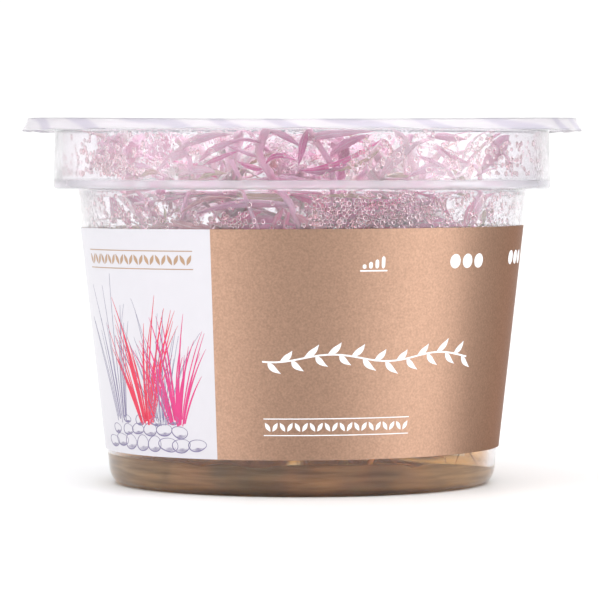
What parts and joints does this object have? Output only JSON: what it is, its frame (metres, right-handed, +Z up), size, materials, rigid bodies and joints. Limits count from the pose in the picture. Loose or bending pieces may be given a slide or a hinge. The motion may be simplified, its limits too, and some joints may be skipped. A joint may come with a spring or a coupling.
{
  "type": "tissue culture plant tub",
  "caption": "Clear plastic tub sealed with a ruffled film lid, wrapped in a bronze and white label, with pink lance-leaved shoots of hygrophila standing in amber gel.",
  "frame": {"origin": "centre of the tub's footprint, on the plane it stands on", "axes": "+Z up along the tub's axis, the front of the label looks along -Y, the white part of the label is towards -X"},
  "size_m": [0.11, 0.11, 0.0712],
  "materials": {
    "tub_plastic": "gloss",
    "lid_film": "satin",
    "label_print": "satin",
    "nutrient_gel": "gloss",
    "stem": "satin",
    "leaf": "satin"
  },
  "bodies": {
    "root": {"gel": "nutrient_gel", "label": "label_print", "leaf_01_a": "leaf", "leaf_01_b": "leaf", "leaf_01_c": "leaf", "leaf_01_d": "leaf", "leaf_02_a": "leaf", "leaf_02_b": "leaf", "leaf_02_c": "leaf", "leaf_02_d": "leaf", "leaf_03_a": "leaf", "leaf_03_b": "leaf", "leaf_03_c": "leaf", "leaf_03_d": "leaf", "leaf_04_a": "leaf", "leaf_04_b": "leaf", "leaf_04_c": "leaf", "leaf_04_d": "leaf", "leaf_05_a": "leaf", "leaf_05_b": "leaf", "leaf_05_c": "leaf", "leaf_05_d": "leaf", "leaf_06_a": "leaf", "leaf_06_b": "leaf", "leaf_06_c": "leaf", "leaf_06_d": "leaf", "leaf_07_a": "leaf", "leaf_07_b": "leaf", "leaf_07_c": "leaf", "leaf_07_d": "leaf", "leaf_08_a": "leaf", "leaf_08_b": "leaf", "leaf_08_c": "leaf", "leaf_08_d": "leaf", "leaf_09_a": "leaf", "leaf_09_b": "leaf", "leaf_09_c": "leaf", "leaf_09_d": "leaf", "leaf_10_a": "leaf", "leaf_10_b": "leaf", "leaf_10_c": "leaf", "leaf_10_d": "leaf", "leaf_11_a": "leaf", "leaf_11_b": "leaf", "leaf_11_c": "leaf", "leaf_11_d": "leaf", "lid_film": "lid_film", "stem_01": "stem", "stem_02": "stem", "stem_03": "stem", "stem_04": "stem", "stem_05": "stem", "stem_06": "stem", "stem_07": "stem", "stem_08": "stem", "stem_09": "stem", "stem_10": "stem", "stem_11": "stem", "tub": "tub_plastic"}
  },
  "joints": []
}
